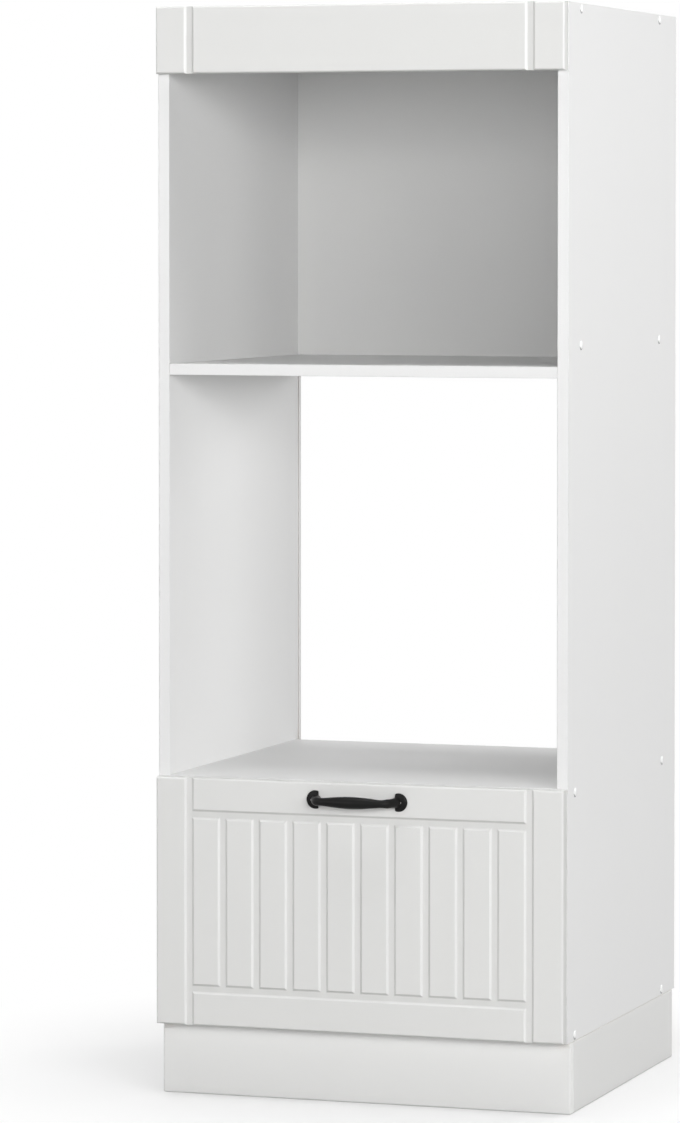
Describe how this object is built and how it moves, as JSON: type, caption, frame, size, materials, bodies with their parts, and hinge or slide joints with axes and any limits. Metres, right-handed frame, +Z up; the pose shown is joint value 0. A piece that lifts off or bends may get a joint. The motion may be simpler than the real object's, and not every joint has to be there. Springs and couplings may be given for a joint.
{
  "type": "tall kitchen cabinet for oven and microwave",
  "caption": "Tall white kitchen unit on a boxed plinth: wide drawer with black bow handle, open oven niche, backed microwave niche and a fascia above.",
  "frame": {"origin": "on the floor, midway across the width and midway through the overall depth from the grip of the handle to the rear edges of the sides", "axes": "+Z up; +X to the right as seen from the front; +Y to the back, so the drawer opens along -Y"},
  "size_m": [0.603, 0.613, 1.532],
  "materials": {
    "melamine_board": "white melamine-faced board, fine pearl grain",
    "edge_band": "white plastic edge band, satin",
    "front_foil": "routed board wrapped in white satin foil",
    "back_board": "thin hardboard, white lacquer on the face",
    "drawer_board": "white melamine-faced board",
    "bare_wood": "bare softwood",
    "cap_plastic": "white moulded plastic, satin",
    "zinc_steel": "bright zinc plate",
    "cam_zinc": "die-cast zinc",
    "runner_coat": "white epoxy powder coat",
    "roller_nylon": "white nylon",
    "handle_black": "black satin lacquer on cast metal",
    "bumper_clear": "pale translucent elastomer"
  },
  "bodies": {
    "carcass": {"left_side_panel": "melamine_board", "right_side_panel": "melamine_board", "top_panel": "melamine_board", "microwave_shelf": "melamine_board", "oven_shelf": "melamine_board", "bottom_panel": "melamine_board", "upper_back_panel": "back_board", "lower_back_panel": "back_board", "fascia_front": "front_foil", "side_edge_bands": "edge_band", "shelf_edge_bands": "edge_band", "plinth_front_board": "melamine_board", "plinth_back_board": "melamine_board", "plinth_left_board": "melamine_board", "plinth_right_board": "melamine_board", "plinth_corner_blocks": "bare_wood", "plinth_block_screws": "zinc_steel", "plinth_fixing_screws": "zinc_steel", "carcass_screws": "zinc_steel", "side_screw_caps": "cap_plastic", "cam_bolts": "zinc_steel", "cam_housings": "cam_zinc", "shelf_dowels": "bare_wood", "fascia_brackets": "zinc_steel", "fascia_bracket_screws": "zinc_steel", "back_panel_nails": "zinc_steel", "left_cabinet_runner": "runner_coat", "right_cabinet_runner": "runner_coat", "cabinet_runner_screws": "zinc_steel", "cabinet_roller_pins": "zinc_steel"},
    "drawer": {"drawer_front": "front_foil", "drawer_box_front": "drawer_board", "drawer_left_wall": "drawer_board", "drawer_right_wall": "drawer_board", "drawer_back_wall": "drawer_board", "drawer_bottom": "back_board", "drawer_box_screws": "zinc_steel", "drawer_front_screws": "zinc_steel", "drawer_bottom_screws": "zinc_steel", "left_drawer_runner": "runner_coat", "right_drawer_runner": "runner_coat", "drawer_runner_screws": "zinc_steel", "drawer_roller_pins": "zinc_steel", "drawer_handle": "handle_black", "handle_screws": "zinc_steel", "drawer_bumpers": "bumper_clear"},
    "front_roller_left": {"left_front_roller": "roller_nylon"},
    "front_roller_right": {"right_front_roller": "roller_nylon"},
    "rear_roller_left": {"left_rear_roller": "roller_nylon"},
    "rear_roller_right": {"right_rear_roller": "roller_nylon"}
  },
  "joints": [
    {"name": "drawer_slide", "type": "slide", "parent": "carcass", "child": "drawer", "axis": [0, -1, 0], "range_m": [0, 0.38]},
    {"name": "front_left_roll", "type": "hinge", "parent": "carcass", "child": "front_roller_left", "pos_m": [-0.2788, -0.2375, 0.1468], "axis": [1, 0, 0], "continuous": true},
    {"name": "front_right_roll", "type": "hinge", "parent": "carcass", "child": "front_roller_right", "pos_m": [0.2788, -0.2375, 0.1468], "axis": [1, 0, 0], "continuous": true},
    {"name": "rear_left_roll", "type": "hinge", "parent": "drawer", "child": "rear_roller_left", "pos_m": [-0.2767, 0.2315, 0.1462], "axis": [1, 0, 0], "continuous": true},
    {"name": "rear_right_roll", "type": "hinge", "parent": "drawer", "child": "rear_roller_right", "pos_m": [0.2767, 0.2315, 0.1462], "axis": [1, 0, 0], "continuous": true}
  ],
  "couplings": [
    {"joint": "front_left_roll", "follows": "drawer_slide", "rad_per_m": 100},
    {"joint": "front_right_roll", "follows": "drawer_slide", "rad_per_m": 100},
    {"joint": "rear_left_roll", "follows": "drawer_slide", "rad_per_m": 100},
    {"joint": "rear_right_roll", "follows": "drawer_slide", "rad_per_m": 100}
  ]
}
